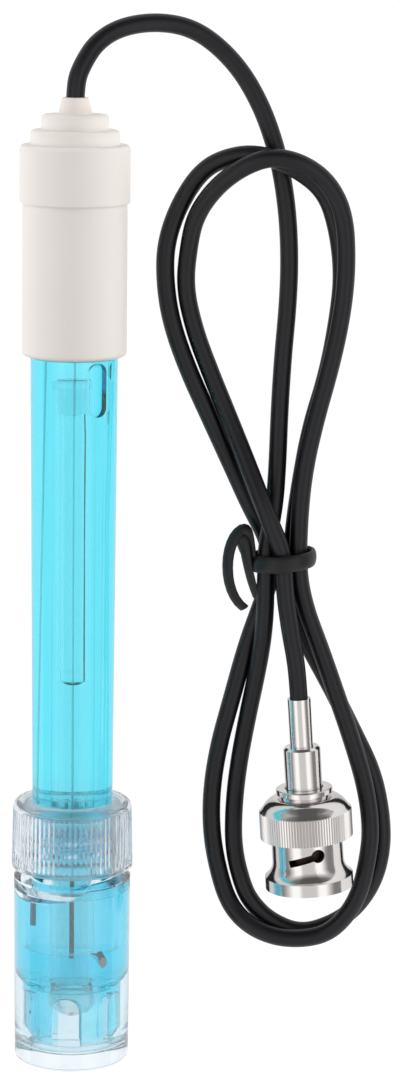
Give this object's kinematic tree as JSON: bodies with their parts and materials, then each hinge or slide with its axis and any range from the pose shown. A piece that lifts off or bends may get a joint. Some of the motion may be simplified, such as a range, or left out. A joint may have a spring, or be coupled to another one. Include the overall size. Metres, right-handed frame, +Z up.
{
  "type": "ph electrode",
  "caption": "See-through combination pH electrode with a white cap, a storage bottle screwed on its tip, and a tied coaxial lead with a bayonet plug.",
  "frame": {"origin": "on the floor below the middle of the electrode with its storage bottle", "axes": "+Y along the electrode towards its lead, +Z up from the floor that it lies on, +X towards the tied lead"},
  "size_m": [0.059, 0.1613, 0.0187],
  "materials": {
    "blue_polycarbonate": "clear blue, polished",
    "glass": "clear",
    "silicone": "matt",
    "ceramic": "porous, unglazed",
    "silver": "drawn",
    "silver_chloride": "matt",
    "buffer": "clear liquid",
    "electrolyte": "clear gel",
    "resin": "cast",
    "copper": "drawn",
    "brass": "turned",
    "white_plastic": "smooth moulded",
    "white_rubber": "smooth moulded",
    "clear_plastic": "clear moulded",
    "black_jacket": "matt extruded",
    "black_tie": "coated wire",
    "nickel": "bright nickel plate",
    "ptfe": "turned",
    "gold_plate": "gold plate",
    "gasket_rubber": "moulded",
    "steel": "rolled"
  },
  "bodies": {
    "electrode": {"body_tube": "blue_polycarbonate", "glass_stem": "glass", "tip_seal": "silicone", "junction_plug": "ceramic", "stem_stopper": "silicone", "inner_wire": "silver", "inner_element": "silver_chloride", "inner_buffer": "buffer", "reference_wire": "silver", "reference_element": "silver_chloride", "reference_gel": "electrolyte", "end_plug": "silicone", "potting": "resin", "core_wire": "copper", "shield_wire": "copper", "cable_crimp": "brass", "cap_sleeve": "white_plastic", "cap_cover": "white_plastic", "cable_boot": "white_rubber", "cable_lead": "black_jacket", "cable_hank": "black_jacket", "cable_tail": "black_jacket", "cable_tie": "black_tie", "crimp_ferrule": "nickel", "plug_body": "nickel", "contact_sleeve": "nickel", "plug_insulator": "ptfe", "centre_pin": "gold_plate", "plug_gasket": "gasket_rubber", "spring_washer": "steel"},
    "bottle": {"storage_bottle": "clear_plastic", "storage_solution": "buffer", "collar_seal": "silicone"},
    "collar": {"bottle_collar": "clear_plastic"},
    "nut": {"coupling_nut": "nickel"}
  },
  "joints": [
    {"name": "bottle_pull", "type": "slide", "parent": "electrode", "child": "bottle", "axis": [0, -1, 0.0095], "range_m": [0, 0.06]},
    {"name": "collar_turn", "type": "hinge", "parent": "bottle", "child": "collar", "pos_m": [0, -0.0437, 0.00935], "axis": [0, 1, -0.0095], "range_deg": [0, 540]},
    {"name": "nut_turn", "type": "hinge", "parent": "electrode", "child": "nut", "pos_m": [0.0369, -0.0472, 0.0072], "axis": [0.0717, -0.9974, 0], "continuous": true}
  ]
}
